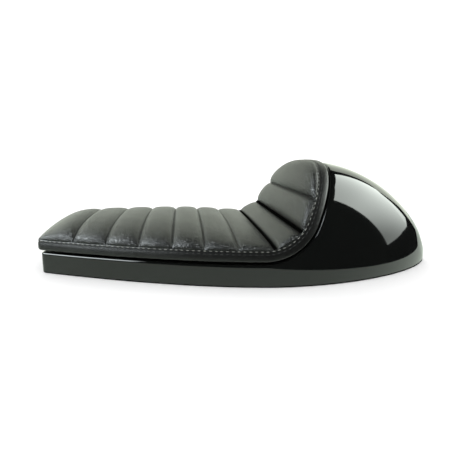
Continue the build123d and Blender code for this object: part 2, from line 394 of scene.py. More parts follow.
class Value:
    """Output of a shader node that takes part in sums, each step adding one Math node."""

    def __init__(self, shader: "Shader", socket: bpy.types.NodeSocket) -> None:
        """Keeps the socket and the shader that new nodes go to."""
        self.shader = shader
        self.socket = socket

    def _math(self, operation: str, first: Any, second: Any) -> "Value":
        """One Math node on two values."""
        node = self.shader.node("ShaderNodeMath", {"operation": operation}, {0: first, 1: second})
        return Value(self.shader, node.outputs[0])

    def __add__(self, other: Any) -> "Value":
        """Sum with a value or number."""
        return self._math("ADD", self, other)

    def __sub__(self, other: Any) -> "Value":
        """This less a value or number."""
        return self._math("SUBTRACT", self, other)

    def __rsub__(self, other: Any) -> "Value":
        """A number less this."""
        return self._math("SUBTRACT", other, self)

    def __mul__(self, other: Any) -> "Value":
        """Product with a value or number."""
        return self._math("MULTIPLY", self, other)

    __radd__ = __add__
    __rmul__ = __mul__


class Shader:
    """A procedural material in the making, on a Principled shader."""

    def __init__(self, name: str) -> None:
        """Starts a material with one Principled shader."""
        self.material = bpy.data.materials.new(name)
        self.material.use_nodes = True
        self.tree = self.material.node_tree
        self.tree.nodes.clear()
        self.surface = self.node("ShaderNodeBsdfPrincipled")
        self.output = self.node("ShaderNodeOutputMaterial", {}, {"Surface": self.surface.outputs[0]})
        self.place = self.node("ShaderNodeTexCoord").outputs["Object"]

    def node(self, kind: str, settings: Optional[dict] = None,
             inputs: Optional[dict] = None) -> bpy.types.Node:
        """Adds a node.

        Args:
            kind: The node's type.
            settings: Its properties.
            inputs: Values or links of its sockets, by name or number.

        Returns:
            The new node.
        """
        node = self.tree.nodes.new(kind)
        for key, value in (settings or {}).items():
            setattr(node, key, value)
        for key, value in (inputs or {}).items():
            self.feed(node.inputs[key], value)
        return node

    def feed(self, socket: bpy.types.NodeSocket, value: Any) -> None:
        """Links a socket to a value or another socket, or sets it."""
        if isinstance(value, Value):
            self.tree.links.new(value.socket, socket)
        elif isinstance(value, bpy.types.NodeSocket):
            self.tree.links.new(value, socket)
        else:
            socket.default_value = value

    def set(self, **inputs: Any) -> None:
        """Feeds the Principled shader's sockets, with underscores for spaces."""
        for key, value in inputs.items():
            self.feed(self.surface.inputs[key.replace("_", " ")], value)

    def noise(self, size: float, detail: float = 2.0) -> Value:
        """Cloudy pattern with blotches of a size in millimetres."""
        inputs = {"Vector": self.place, "Scale": 1/(size*MM), "Detail": detail}
        return Value(self, self.node("ShaderNodeTexNoise", {}, inputs).outputs[0])

    def pebbles(self, size: float) -> Value:
        """Distance from the creases between pebbles of a size in millimetres."""
        settings = {"feature": "DISTANCE_TO_EDGE"}
        inputs = {"Vector": self.place, "Scale": 1/(size*MM)}
        return Value(self, self.node("ShaderNodeTexVoronoi", settings, inputs).outputs["Distance"])

    def stripes(self, size: float, direction: str) -> Value:
        """Wavy stripes of a width in millimetres."""
        settings = {"wave_type": "BANDS", "bands_direction": direction}
        inputs = {"Vector": self.place, "Scale": 0.3/(size*MM), "Distortion": 1.5}
        return Value(self, self.node("ShaderNodeTexWave", settings, inputs).outputs["Fac"])

    def attribute(self, name: str) -> Value:
        """Attribute of the mesh's points."""
        return Value(self, self.node("ShaderNodeAttribute", {"attribute_name": name}).outputs["Fac"])

    def ease(self, value: Value, low: float, high: float) -> Value:
        """Soft step from 0 to 1 between two limits."""
        settings = {"interpolation_type": "SMOOTHSTEP"}
        inputs = {"Value": value, "From Min": low, "From Max": high}
        return Value(self, self.node("ShaderNodeMapRange", settings, inputs).outputs["Result"])

    def blend(self, share: Value, first: Colour, second: Colour) -> Value:
        """Colour between two, by a share."""
        inputs = {"Factor": share, 6: (*first, 1.0), 7: (*second, 1.0)}
        return Value(self, self.node("ShaderNodeMix", {"data_type": "RGBA"}, inputs).outputs[2])

    def dull(self, share: Value, colour: Colour) -> None:
        """Mixes in a dark matt surface by a share: painted shade, standing in for the shadow deep in a fold.
        """
        inputs = {"Base Color": (*colour, 1.0), "Roughness": 0.9, "Specular IOR Level": 0.0}
        matt = self.node("ShaderNodeBsdfPrincipled", {}, inputs)
        sockets = {0: share, 1: self.surface.outputs[0], 2: matt.outputs[0]}
        mixed = self.node("ShaderNodeMixShader", {}, sockets)
        self.feed(self.output.inputs["Surface"], mixed.outputs[0])

    def relief(self, height: Value, depth: float, strength: float) -> None:
        """Bump of a depth in millimetres into the shader's normal."""
        inputs = {"Height": height, "Distance": depth*MM, "Strength": strength}
        self.set(Normal=Value(self, self.node("ShaderNodeBump", {}, inputs).outputs[0]))


@dataclass(frozen=True)
class GlossMoulding:
    """Gloss black moulding with a faint ripple, as such shells have."""

    name: str = "gloss_moulding"
    colour: Colour = (0.0028, 0.0032, 0.0030)
    dusted: Colour = (0.0042, 0.0048, 0.0044)
    roughness: float = 0.05
    spread: float = 0.03
    ior: float = 1.5
    cloud: float = 60.0
    ripple: float = 9.0
    ripple_depth: float = 0.012
    ripple_strength: float = 0.35

    def material(self) -> bpy.types.Material:
        """Builds the finish."""
        shader = Shader(self.name)
        cloud = shader.noise(self.cloud)
        shader.set(Base_Color=shader.blend(cloud, self.colour, self.dusted))
        shader.set(Roughness=cloud*self.spread + (self.roughness - self.spread/2))
        shader.set(IOR=self.ior)
        shader.relief(shader.noise(self.ripple, 1.0), self.ripple_depth, self.ripple_strength)
        return shader.material


@dataclass(frozen=True)
class GrainLeather:
    """Black seat leather with a pebbled grain and a satin sheen, and painted shade deep in the scoop's wide
    grooves.
    """

    name: str = "grain_leather"
    colour: Colour = (0.0095, 0.0105, 0.0095)
    # Colour of the grain's creases, and also of the painted shade deep in the scoop's wide grooves.
    grain_crease_and_fold_shade: Colour = (0.003, 0.0033, 0.003)
    grain: float = 2.0
    cloud: float = 26.0
    fine: float = 0.5
    roughness: float = 0.28
    spread: float = 0.14
    crease_spread: float = 0.08
    heights: tuple[float, float, float] = (0.9, 0.05, 0.6)
    depth: float = 0.55
    strength: float = 0.9
    # Limits of the painted shade mask in the wide grooves.
    fold_shade_limits: tuple[float, float] = (0.12, 0.6)
    specular: float = 0.42
    sheen: float = 0.03
    sheen_roughness: float = 0.35
    sheen_tint: Colour = (0.86, 0.90, 0.82)

    def material(self) -> bpy.types.Material:
        """Builds the finish."""
        shader = Shader(self.name)
        cloud = shader.noise(self.cloud, 3.0)
        pebble = shader.ease(shader.pebbles(self.grain), 0.0, 0.5)
        fine = shader.noise(self.fine)
        painted_fold_shade = shader.attribute("painted_fold_shade")
        shader.set(Base_Color=shader.blend(pebble, self.grain_crease_and_fold_shade, self.colour))
        rough = cloud*self.spread + (1 - pebble)*self.crease_spread
        shader.set(Roughness=rough + (self.roughness - self.spread/2))
        # Painted shade: deep in the scoop's wide grooves the leather is mixed towards a dark matt surface,
        # standing in for their shadow.
        shader.dull(shader.ease(painted_fold_shade, *self.fold_shade_limits), self.grain_crease_and_fold_shade)
        shader.set(Specular_IOR_Level=self.specular, Sheen_Weight=self.sheen)
        shader.set(Sheen_Roughness=self.sheen_roughness, Sheen_Tint=(*self.sheen_tint, 1.0))
        pebble_height, fine_height, cloud_height = self.heights
        height = pebble*pebble_height + fine*fine_height + cloud*cloud_height
        shader.relief(height, self.depth, self.strength)
        return shader.material


@dataclass(frozen=True)
class TwistedThread:
    """Sewing thread with a twist."""

    name: str
    colour: Colour
    shade: Colour
    twist: float = 0.9
    roughness: float = 0.75
    spread: float = 0.15
    depth: float = 0.12
    strength: float = 0.6

    def material(self) -> bpy.types.Material:
        """Builds the finish."""
        shader = Shader(self.name)
        strand = shader.stripes(self.twist, "DIAGONAL")
        shader.set(Base_Color=shader.blend(strand, self.shade, self.colour))
        shader.set(Roughness=self.roughness - strand*self.spread)
        shader.relief(strand, self.depth, self.strength)
        return shader.material


@dataclass(frozen=True)
class ZincPlate:
    """Bright zinc on steel, with dull patches."""

    name: str = "zinc_plate"
    bright: Colour = (0.66, 0.66, 0.63)
    dull: Colour = (0.46, 0.47, 0.47)
    patch: float = 3.0
    roughness: float = 0.48
    spread: float = 0.26
    speck: float = 0.4
    depth: float = 0.02
    strength: float = 0.3

    def material(self) -> bpy.types.Material:
        """Builds the finish."""
        shader = Shader(self.name)
        patch = shader.noise(self.patch, 4.0)
        shader.set(Base_Color=shader.blend(patch, self.dull, self.bright))
        shader.set(Metallic=1.0, Roughness=self.roughness - patch*self.spread)
        shader.relief(shader.noise(self.speck), self.depth, self.strength)
        return shader.material


@dataclass(frozen=True)
class MattBoard:
    """Matt black board with a moulded texture."""

    name: str = "matt_board"
    colour: Colour = (0.026, 0.026, 0.026)
    worn: Colour = (0.045, 0.045, 0.043)
    patch: float = 14.0
    roughness: float = 0.55
    spread: float = 0.2
    texture: float = 0.8
    depth: float = 0.1
    strength: float = 0.5

    def material(self) -> bpy.types.Material:
        """Builds the finish."""
        shader = Shader(self.name)
        patch = shader.noise(self.patch, 4.0)
        shader.set(Base_Color=shader.blend(patch, self.colour, self.worn))
        shader.set(Roughness=patch*self.spread + self.roughness)
        shader.relief(shader.noise(self.texture), self.depth, self.strength)
        return shader.material


@dataclass(frozen=True)
class OpenFoam:
    """Open-cell seat foam."""

    name: str = "open_foam"
    colour: Colour = (0.58, 0.53, 0.38)
    pore: Colour = (0.30, 0.26, 0.17)
    cell: float = 1.6
    roughness: float = 0.95
    spread: float = 0.1
    depth: float = 0.6
    strength: float = 0.8

    def material(self) -> bpy.types.Material:
        """Builds the finish."""
        shader = Shader(self.name)
        cell = shader.ease(shader.pebbles(self.cell), 0.0, 0.4)
        shader.set(Base_Color=shader.blend(cell, self.pore, self.colour))
        shader.set(Roughness=self.roughness - cell*self.spread)
        shader.relief(cell, self.depth, self.strength)
        return shader.material


def dress(piece: bpy.types.Object, finish: bpy.types.Material) -> None:
    """Gives a piece one material all over."""
    piece.data.materials.clear()
    piece.data.materials.append(finish)


def seat_piece(piece: bpy.types.Object, slot: Slot, *nodes: str) -> None:
    """Puts a piece on the part's body in place of its solids.

    Args:
        piece: The finished piece.
        slot: Material slot of the record; not used.
        nodes: Solids that it stands for.
    """
    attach(piece, BODY)
    if nodes:
        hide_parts(*nodes)
    LOG.info("%s: %d faces", piece.name, len(piece.data.polygons))


@dataclass(eq=False)
class Cowl:
    """The moulded cowl: skirt, deck, scooped front wall and tail hump, open underneath."""

    form: SeatForm
    fasteners: "Fasteners"
    half_columns: int = 200
    dome_rows: int = 52
    lip_rows: int = 6
    deck_rows: int = 12
    row_crowding: float = 1.35
    wall: float = 3.0
    lip: float = 4.4
    tail_face_share: float = 0.05
    spine: tuple[float, float] = (80.0, 395.0)
    nose_lean: float = 1.5
    rim_radius: float = 2.2
    rim_shade: float = 3.5
    rim_steps: int = 90
    rim_cuts: int = 4
    upright: float = 0.8
    sharp: float = 32.0
    boss_radius: float = 13.0
    boss_height: float = 2.0
    hole_radius: float = 4.3
    tube_segments: int = 48
    outline: Outline = field(init=False)
    side_share: float = field(init=False)

    def __post_init__(self) -> None:
        """Finds the outline and where the hump's sides begin."""
        self.outline = Outline(0.0, self.form.nose_x)
        self.side_share = self._share_at(self.form.widest_x)

    def _share_at(self, x: float) -> float:
        """Share of the lip where it passes a station."""
        return halve(lambda share: self._lip(share).x < x, self.form.corner_end, self.form.side_end)

    def _level(self, _: float) -> float:
        """The lip lies on the seat line itself."""
        return 0.0

    def _lip(self, share: float) -> Vector:
        """Sharp lip between the outside and the seat face, on one side."""
        s, y, rise = self.form.edge(share, self._level, self.outline)
        return self.form.at(s, y, rise)

    def _outside(self, share: float, climb: float) -> Vector:
        """Point of the outside on one side, from 0 at the rim to 1 at the lip."""
        lip = self._lip(share)
        if share <= self.side_share:
            angle = self._arch_angle(lip)*climb
            across = self.form.arch_point(lip.x, angle)
            spread = across.y/self.form.arch_point(lip.x, self._arch_angle(lip)).y
            lean = self.nose_lean*(1 - climb)*(1 - ease(share, self.form.nose_end, self.form.corner_end))
            return Vector((lip.x - lean, lip.y*spread, across.z))
        along = (share - self.side_share)/(1 - self.side_share)/(1 - self.tail_face_share)
        rim_x = self.form.tail_plan.point(min(along, 1.0))[0]
        over = max(along - 1, 0.0)*(1 - self.tail_face_share)/self.tail_face_share
        angle = mix(over*math.pi/2, self._arch_angle(lip), climb)
        return self.form.arch_point(mix(rim_x, lip.x, climb), angle)

    def rim_loop(self) -> list[Vector]:
        """Line on the floor all round the rim, a little way outside it."""
        half = [self._outside(step/self.rim_steps, 0.0) for step in range(self.rim_steps + 1)]
        loop = half + [Vector((point.x, -point.y, 0.0)) for point in reversed(half[1:-1])]
        length = max(point.x for point in half)
        width = max(abs(point.y) for point in half)
        longer, wider = 1 + self.rim_shade/length, 1 + self.rim_shade/width
        return [Vector((point.x*longer, point.y*wider, 0.0)) for point in loop]

    def _arch_angle(self, point: Vector) -> float:
        """Angle round the arch of a point on the outside."""
        top = self.form.ridge(point.x)
        return math.asin(clamp(point.z/top, 0.0, 1.0)**(self.form.arch_power/2))

    def _seat(self, share: float, inward: float) -> Vector:
        """Point of the seat face on one side, from 0 at the lip to 1 at its spine."""
        s, y, _ = self.form.edge(share, self._level, self.outline)
        return self.form.at(mix(s, clamp(s, *self.spine), inward), y*(1 - inward), 0.0)

    def _place(self, column: int, row: int) -> Vector:
        """Point of the outer face for a column round the rim and a row from the rim to the spine."""
        turn = column/(2*self.half_columns)
        share = 1 - abs(2*turn - 1)
        lip = self._lip(share)
        reach = 1 - self.lip/(lip - self._outside(share, 0.0)).length
        if row <= self.dome_rows:
            point = self._outside(share, reach*(row/self.dome_rows)**self.row_crowding)
            if row == 0:
                point.z = 0.0
        else:
            inset = self.lip/max((lip - self._seat(share, 1.0)).length, self.lip*2)
            if row <= self.dome_rows + self.lip_rows:
                t = (row - self.dome_rows)/self.lip_rows
                outer, inner = self._outside(share, reach), self._seat(share, inset)
                point = (1 - t)**2*outer + 2*t*(1 - t)*lip + t*t*inner
            else:
                t = (row - self.dome_rows - self.lip_rows)/self.deck_rows
                point = self._seat(share, mix(inset, 1.0, t))
        return point if turn < 0.5 else Vector((point.x, -point.y, point.z))

    def build(self) -> bpy.types.Object:
        """Models the shell, with its bosses and stud holes.

        Returns:
            The finished piece.
        """
        rows = self.dome_rows + self.lip_rows + self.deck_rows
        mesh = mapped_grid(2*self.half_columns, rows, self._place)
        uprights = [edge for edge in mesh.edges if sum(vert.is_boundary for vert in edge.verts) == 1]
        bmesh.ops.subdivide_edges(mesh, edges=uprights, cuts=self.rim_cuts, use_grid_fill=True)
        piece = new_piece("cowl", mesh)
        outside = len(piece.data.vertices)
        wall = piece.modifiers.new("wall", "SOLIDIFY")
        wall.thickness = self.wall*MM
        wall.offset = -1.0
        bake_modifiers(piece)
        self._shade(piece, outside)
        self._bore(piece)
        return piece

    def _tubes(self, radius: float, low: float, high: float) -> bpy.types.Object:
        """Upright closed cylinders at the studs, between two heights."""
        mesh = bmesh.new()
        for place in self.fasteners.places():
            middle = Matrix.Translation(place + Vector((0, 0, (low + high)/2)))
            bmesh.ops.create_cone(mesh, cap_ends=True, segments=self.tube_segments, radius1=radius,
                                  radius2=radius, depth=high - low, matrix=middle)
        return new_piece("tubes", mesh)

    def _bore(self, piece: bpy.types.Object) -> None:
        """Adds the bosses under the deck and drills them for the studs."""
        deck = self.form.deck_height
        bosses = self._tubes(self.boss_radius, deck - self.wall - self.boss_height, deck - self.wall/2)
        drills = self._tubes(self.hole_radius, deck - 2*self.wall - self.boss_height, deck + self.wall)
        for operation, tool in (("UNION", bosses), ("DIFFERENCE", drills)):
            cut = piece.modifiers.new(operation, "BOOLEAN")
            cut.operation = operation
            cut.object = tool
        bake_modifiers(piece)
        for tool in (bosses, drills):
            bpy.data.objects.remove(tool)

    def _shade(self, piece: bpy.types.Object, outside: int) -> None:
        """Rounds the rim, keeps the wall above the floor and shades the faces smooth.

        Args:
            piece: The shell with its wall.
            outside: How many of its points are on the outer face, which come first.
        """
        mesh = bmesh.new()
        mesh.from_mesh(piece.data)
        mesh.normal_update()
        mesh.verts.ensure_lookup_table()
        radius = self.rim_radius
        for vert in mesh.verts[:outside]:
            below = 1 - min(vert.co.z/MM/radius, 1.0)
            upright = [face.normal for face in vert.link_faces if abs(face.normal.z) < self.upright]
            out = sum(upright, Vector((0, 0, 0)))
            out.z = 0.0
            vert.co -= out.normalized()*(radius*MM*(1 - math.sqrt(1 - below*below)))
        for vert in mesh.verts:
            vert.co.z = max(vert.co.z, 0.0)
        mark_sharp(mesh, self.sharp)
        mesh.to_mesh(piece.data)
        mesh.free()

    def dress(self, piece: bpy.types.Object) -> None:
        """Finishes the cowl and puts it in its solid's place."""
        dress(piece, GlossMoulding().material())
        seat_piece(piece, Slot.COWL, "cowl_shell")


@dataclass(eq=False)
class Pad:
    """The tuck-and-roll pad: a rolled top panel sewn to a side band, with stitches along the seam."""

    form: SeatForm
    seam_heights: tuple[float, float] = (18.5, 18.0)
    thicknesses: tuple[float, float] = (37.0, 30.8)
    dish: tuple[float, float, float] = (336.0, 58.0, 14.0)
    bulges: tuple[float, float] = (4.2, 6.0)
    end_bulge: float = 1.3
    roll_power: float = 3.6
    end_power: float = 1.7
    ends: tuple[float, float] = (0.60, 0.95)
    crown_power: float = 2.15
    closing_power: float = 2.6
    nose_closing: float = 60.0
    top_closing: float = 80.0
    first_seam: float = 56.5
    pitches: tuple[float, ...] = (45.6, 43.5, 42.9, 40.2, 41.9, 49.4, 50.4, 47.0)
    seam_sinks: tuple[float, float] = (1.8, 4.2)
    seam_powers: tuple[float, float] = (22.0, 7.0)
    deep_seams: tuple[int, ...] = (6, 7)
    groove_reach: float = 7.0
    edge_sink: float = 0.9
    edge_inset: float = 2.0
    edge_power: int = 5
    backing: float = 5.0
    backing_share: float = 0.6
    roll_rows: int = 14
    end_rows: int = 20
    last_crowding: float = 2.6
    panel_columns: int = 64
    foam_columns: int = 40
    foam_rows: int = 80
    foam_sharp: float = 40.0
    foam_ends: tuple[float, float] = (8.0, 6.0)
    foam_share: float = 0.96
    foam_gap: float = 0.3
    foam_sink: float = 2.0
    board_high: float = 9.1
    cover: float = 1.6
    hem_lift: float = 3.5
    hem_width: float = 24.0
    band_radius: float = 3.6
    band_half_columns: int = 260
    band_sharp: float = 60.0
    band_grain: float = 0.16
    hem_steps: int = 4
    round_steps: int = 6
    seam_edge: tuple[tuple[float, float], ...] = (
        (0.1, 7.2), (0.4, 5.6), (0.8, 4.2), (1.05, 2.8), (1.15, 1.6),
        (1.3, 0.7), (1.7, 0.2), (2.2, 0.3), (2.6, 1.0), (2.7, 2.4))
    inside_step: float = 0.6
    inside_drop: float = 7.0
    stitch_pitch: float = 7.0
    stitch_length: float = 3.9
    stitch_segments: tuple[int, int] = (8, 5)
    stitch_proud: float = 0.25
    thread_radius: float = 0.5
    path_steps: int = 1600
    seam_row: tuple[float, float] = (1.3, 1.15)
    hem_row: tuple[float, float] = (4.9, 0.6)
    pressure: float = 2.5
    gather: float = 0.05
    gather_reach: float = 0.86
    swell_frames: int = 20
    swell_cap: float = 5.0
    outline: Outline = field(init=False)
    seams: list[float] = field(init=False)
    length: float = field(init=False)

    def __post_init__(self) -> None:
        """Works out the seams and the pad's length along the seat line."""
        self.outline = Outline(self.form.pad_overhang, self.form.pad_nose_x)
        self.seams = [self.first_seam]
        for pitch in self.pitches:
            self.seams.append(self.seams[-1] + pitch)
        top = self.form.hump_height + self.form.pad_overhang
        self.length = self.form.backrest_distance(top, self.seam_heights[1])

    def seam_height(self, s: float) -> float:
        """Height of the edge seam above the seat line, which falls through the scoop."""
        return mix(*self.seam_heights, self.form.seat_line(s)[2]/self.form.slope)

    def thickness(self, s: float) -> float:
        """Height of the crown above the seat line, which is dished where the rider sits."""
        middle, reach, depth = self.dish
        sunk = depth*math.exp(-((s - middle)/reach)**2/2)
        return mix(*self.thicknesses, self.form.seat_line(s)[2]/self.form.slope) - sunk

    def _closing(self, s: float) -> float:
        """Share of the full crown, which closes to nothing at the nose and at the top."""
        nose = 1 - clamp(s/self.nose_closing, 0.0, 1.0)
        top = 1 - clamp((self.length - s)/self.top_closing, 0.0, 1.0)
        return math.sqrt((1 - nose**self.closing_power)*(1 - top**self.closing_power))

    def _panel_half(self, s: float) -> float:
        """Half width of the top panel at a distance along the seat line."""
        lift = self.seam_height(s)
        flat_half, radius, splay = self.form.corner(lift, self.outline)
        if s < radius*(1 - math.sin(splay)):
            return flat_half + radius*math.sqrt(1 - (1 - s/radius)**2) - self.edge_inset
        x, z = self.form.seat_point(s, lift)
        return max(self.form.arch_half(x, z, self.outline.grow) - self.edge_inset, 0.0)

    def _stations(self) -> list[tuple[float, float]]:
        """Rows of the panel as distances along the seat line, each with its share of its roll."""
        ends = [0.0, *self.seams, self.length]
        rows = []
        for index, (start, stop) in enumerate(zip(ends, ends[1:])):
            count = self.end_rows if index in (0, len(self.seams)) else self.roll_rows
            for step in range(count):
                t = step/count
                share = (1 - math.cos(math.pi*t))/2
                if index == len(self.seams) and t > 0.5:
                    share = 1 - (2*(1 - t))**self.last_crowding/2
                rows.append((mix(start, stop, share), share))
        return rows + [(self.length, 1.0)]

    def _panel_point(self, s: float, share: float, across: float, puff: float) -> Vector:
        """Point of the top panel.

        Args:
            s: Distance along the seat line.
            share: From 0 to 1 between the two seams of a roll.
            across: From -1 to 1 over the crown.
            puff: How far the roll stands out from the crown at its middle.

        Returns:
            The point, in millimetres.
        """
        power = self.crown_power
        half = max(self._panel_half(s), 0.001)
        low = self.seam_height(s) - self.edge_sink
        rise = max((self.thickness(s) - low)*self._closing(s), 0.001)
        turn = across*math.pi/2
        y = signed_power(math.sin(turn), 2/power)
        n = abs(math.cos(turn))**(2/power)
        out = Vector((signed_power(y, power - 1)/half, n**(power - 1)/rise, 0)).normalized()
        end = ease(abs(across), *self.ends)
        side = abs(2*share - 1)
        round_off = 1 - side**mix(self.roll_power, self.end_power, end)
        deep = self._deep(s)
        groove = mix(*self.seam_sinks, deep)*side**mix(*self.seam_powers, deep)
        swell = puff*mix(1.0, self.end_bulge, end)*round_off - groove
        swell *= self._edge_fade(across)*self._closing(s)
        return self.form.at(s, y*half + out.x*swell, low + n*rise + out.y*swell)

    def _edge_fade(self, across: float) -> float:
        """1 over the crown, falling to 0 at the edge seam."""
        return math.sqrt(1 - abs(across)**self.edge_power)

    def _deep(self, s: float) -> float:
        """1 where the nearest seam is one of the wide grooves of the scoop, or else 0."""
        nearest = min(range(len(self.seams)), key=lambda index: abs(self.seams[index] - s))
        return 1.0 if nearest in self.deep_seams else 0.0

    def _groove(self, s: float) -> float:
        """1 under the wide grooves of the scoop, falling to 0 on both sides of them."""
        near = min(abs(s - self.seams[index]) for index in self.deep_seams)
        return math.exp(-(near/self.groove_reach)**2)

    def _scoop_share(self, s: float) -> float:
        """From 0 on the level seat to 1 a little way up the scoop."""
        return ease(self.form.seat_line(s)[2]/self.form.slope, 0.0, 0.4)

    def _puff(self, s: float) -> float:
        """How far the rolls stand out, which is more in the scoop."""
        return mix(*self.bulges, self._scoop_share(s))

    def _backing_point(self, s: float, across: float, gap: float) -> Vector:
        """Point of the panel's backing, lowered by a further gap."""
        angle = self.form.seat_line(s)[2]
        rise = self.thickness(s) - self.seam_height(s)
        drop = min(self.backing, self.backing_share*rise*self._closing(s))
        drop += self.seam_sinks[1]*self._groove(s)
        drop *= self._edge_fade(across)
        up = Vector((-math.sin(angle), 0, math.cos(angle)))
        return self._panel_point(s, 0.5, across, 0.0) - up*(drop + gap)

    def _panel_mesh(self) -> bmesh.types.BMesh:
        """The closed panel: its rolled face and its backing, joined along the edge seam.

        Returns:
            The mesh, whose points say how firmly they are held, how far they are gathered and how much
            painted shade they take deep in a wide groove.
        """
        rows = self._stations()
        columns = self.panel_columns
        mesh = bmesh.new()
        held = mesh.verts.layers.float.new("held")
        gathered = mesh.verts.layers.float.new("gathered")
        painted_fold_shade = mesh.verts.layers.float.new("painted_fold_shade")
        for backing in (False, True):
            before = set(mesh.verts)
            bmesh.ops.create_grid(mesh, x_segments=columns, y_segments=len(rows) - 1, size=0.5)
            for vert in set(mesh.verts) - before:
                column = round((vert.co.x + 0.5)*columns)
                row = round((vert.co.y + 0.5)*(len(rows) - 1))
                s, share = rows[row]
                across = 2*column/columns - 1
                rim = column in (0, columns) or row in (0, len(rows) - 1)
                if backing and not rim:
                    vert.co = self._backing_point(s, across, 0.0)
                else:
                    vert.co = self._panel_point(s, share, across, self._puff(s))
                    # Painted shade mask: how deep a point lies in one of the scoop's wide grooves.
                    vert[painted_fold_shade] = self._deep(s)*abs(2*share - 1)**self.seam_powers[1]
                vert[held] = 1.0 if backing or rim or share == 0.0 else 0.0
                vert[gathered] = clamp((abs(across) - self.gather_reach)/(1 - self.gather_reach), 0.0, 1.0)
        bmesh.ops.remove_doubles(mesh, verts=mesh.verts[:], dist=MERGE)
        bmesh.ops.recalc_face_normals(mesh, faces=mesh.faces[:])
        return mesh

    def build_panel(self) -> bpy.types.Object:
        """Models the top panel and lets its rolls swell between their seams.

        Returns:
            The finished piece.
        """
        piece = new_piece("rolled_panel", self._panel_mesh())
        self._swell(piece)
        for polygon in piece.data.polygons:
            polygon.use_smooth = True
        fine = piece.modifiers.new("fine", "SUBSURF")
        fine.levels = 1
        fine.render_levels = 1
        return piece

    def _swell(self, piece: bpy.types.Object) -> None:
        """Blows the rolls up between their seams as cloth, with a cap on how far a point moves.

        Args:
            piece: The closed panel.
        """
        starts = [vert.co.copy() for vert in piece.data.vertices]
        for name in ("held", "gathered"):
            group = piece.vertex_groups.new(name=name)
            for index, weight in enumerate(piece.data.attributes[name].data):
                group.add([index], weight.value, "REPLACE")
        cloth = piece.modifiers.new("cloth", "CLOTH")
        for key, value in CLOTH.items():
            setattr(cloth.settings, key, value)
        cloth.settings.uniform_pressure_force = self.pressure
        cloth.settings.shrink_max = -self.gather
        cloth.settings.effector_weights.gravity = 0.0
        cloth.collision_settings.use_collision = False
        scene = bpy.context.scene
        for number in range(1, self.swell_frames + 1):
            scene.frame_set(number)
        bake_modifiers(piece)
        cap = self.swell_cap*MM
        moves = []
        for vert, start in zip(piece.data.vertices, starts):
            move = vert.co - start
            moves.append(move.length/MM)
            if move.length > cap:
                vert.co = start + move*(cap/move.length)
        piece.vertex_groups.clear()
        average = sum(moves)/len(moves)
        LOG.info("%s: swelled by up to %.1f mm, %.1f mm on average", piece.name, max(moves), average)

    def _band_profile(self) -> list[tuple[float, Lift]]:
        """Section of the band as insets from its outer face, each with its height above the seat line.

        Returns:
            Points round the closed section, from the hem's end up the outside and down the inside.
        """
        radius, fold = self.band_radius, self.cover
        points: list[tuple[float, Lift]] = []

        def add(inset: float, lift: float, from_seam: float) -> None:
            """Adds a point at a height above the seat line, or at a distance below the seam."""
            points.append((inset, lambda s, a=lift, b=from_seam: a + (self.seam_height(s) - b if b else 0.0)))

        hem = self.hem_lift
        for step in range(self.hem_steps):
            add(mix(self.hem_width, radius, step/self.hem_steps), hem, 0.0)
        for step in range(self.round_steps + 1):
            angle = math.pi/2*step/self.round_steps
            add(radius*(1 - math.sin(angle)), hem + radius*(1 - math.cos(angle)), 0.0)
        for inset, drop in self.seam_edge:
            add(inset, 0.0, drop)
        add(fold + self.inside_step, 0.0, self.inside_drop)
        add(fold + radius, hem + fold, 0.0)
        add(self.hem_width, hem + fold, 0.0)
        return points

    def build_band(self) -> bpy.types.Object:
        """Models the side band, with its rounded lower edge, its hem and its turned-in seam edge.

        Returns:
            The finished piece.
        """
        profile = self._band_profile()
        columns = 2*self.band_half_columns

        def place(column: int, row: int) -> Vector:
            """Point of the band for a column round it and a row of its section."""
            inset, lift = profile[row % len(profile)]
            outline = Outline(self.outline.grow - inset, self.outline.nose_x + inset)
            return self.form.edge_point(column/columns, lift, outline)

        mesh = mapped_grid(columns, len(profile), place)
        mark_sharp(mesh, self.band_sharp)
        return new_piece("side_band", mesh)

    def build_foam(self) -> bpy.types.Object:
        """Models the foam between the board and the panel's backing.

        Returns:
            The finished piece.
        """
        columns, rows = self.foam_columns, self.foam_rows
        start, stop = self.foam_ends

        def place(column: int, row: int) -> Vector:
            """Point of the foam for a column round its section and a row along the seat line."""
            s = mix(start, self.length - stop, row/rows)
            across = 4*column/columns - 1 if column <= columns/2 else 3 - 4*column/columns
            top = self._backing_point(s, across, self.foam_gap + self.foam_sink*self._groove(s))
            if column > columns/2:
                top = self.form.at(s, top.y, self.board_high + self.foam_gap)
            return Vector((top.x, top.y*self.foam_share, top.z))

        mesh = mapped_grid(columns, rows, place)
        bmesh.ops.holes_fill(mesh, edges=mesh.edges[:], sides=0)
        bmesh.ops.recalc_face_normals(mesh, faces=mesh.faces[:])
        mark_sharp(mesh, self.foam_sharp)
        return new_piece("foam", mesh)

    def _stitch_path(self, drop: float, inset: float) -> list[tuple[Vector, Vector]]:
        """Line on the band below the edge seam, as close points with the way out of the band.

        Args:
            drop: Distance below the seam.
            inset: Distance in from the band's outermost line.

        Returns:
            Points all round with their outward directions.
        """
        count = self.path_steps
        inner = Outline(self.outline.grow - inset, self.outline.nose_x + inset)
        outer = Outline(inner.grow + 1, inner.nose_x - 1)
        path = []

        def lift(s: float) -> float:
            """Height of the row above the seat line."""
            return self.seam_height(s) - drop

        for step in range(count + 1):
            point = self.form.edge_point(step/count, lift, inner)
            beyond = self.form.edge_point(step/count, lift, outer)
            path.append((point, (beyond - point).normalized()))
        return path

